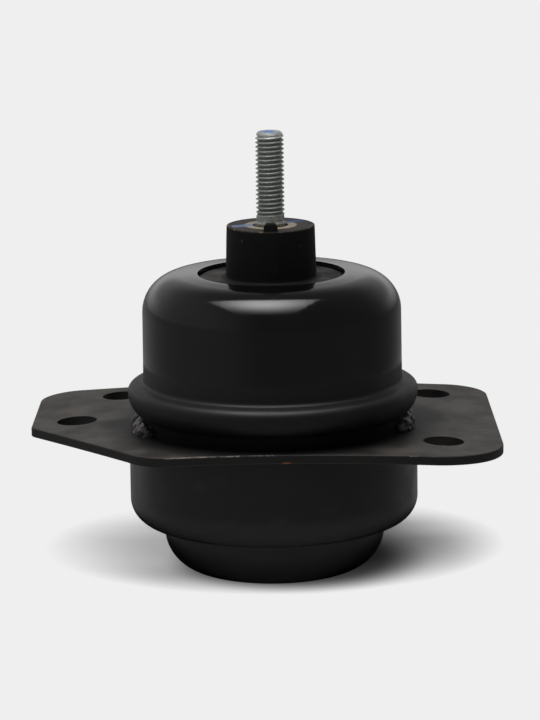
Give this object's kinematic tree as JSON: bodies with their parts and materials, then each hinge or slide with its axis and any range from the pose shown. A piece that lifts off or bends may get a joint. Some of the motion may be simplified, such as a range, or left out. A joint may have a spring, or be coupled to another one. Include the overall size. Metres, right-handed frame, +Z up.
{
  "type": "engine mount",
  "caption": "Round hydraulic engine mount: a threaded stud on a rubber-covered boss in a beaded steel can, over a bowed bolt-on plate and a cupped fluid housing.",
  "frame": {"origin": "centre of the bottom cup's flat base, on the stud's axis", "axes": "+Z up along the stud, -Y towards the plate's long straight edge, +X towards the plate's square end"},
  "size_m": [0.1625, 0.1162, 0.1525],
  "materials": {
    "zinc_flake_steel": "grey zinc flake coat, matte",
    "core_steel": "bare turned face, stained tan and brown",
    "skin_rubber": "moulded, dusty",
    "spring_rubber": "moulded",
    "can_paint": "semi-gloss black dip paint",
    "housing_paint": "satin black dip paint, smudged",
    "plate_coat": "thin dark grey-brown coat, worn at the edges",
    "weld_steel": "weld bead, partly painted",
    "inner_steel": "plain pressed steel",
    "cast_aluminium": "die cast"
  },
  "bodies": {
    "root": {"stud": "zinc_flake_steel", "inner_core": "core_steel", "rebound_plate": "inner_steel", "stop_rubber": "skin_rubber", "main_rubber": "spring_rubber", "support_ring": "inner_steel", "upper_can": "can_paint", "base_collar": "can_paint", "collar_welds": "weld_steel", "flange_plate": "plate_coat", "plate_seal": "spring_rubber", "lower_sleeve": "housing_paint", "bottom_cup": "housing_paint", "bellows": "spring_rubber", "bellows_hoop": "inner_steel", "track_body": "cast_aluminium", "upper_grid": "inner_steel", "decoupler_disc": "spring_rubber", "track_cover": "inner_steel", "track_rivets": "inner_steel"}
  },
  "joints": []
}
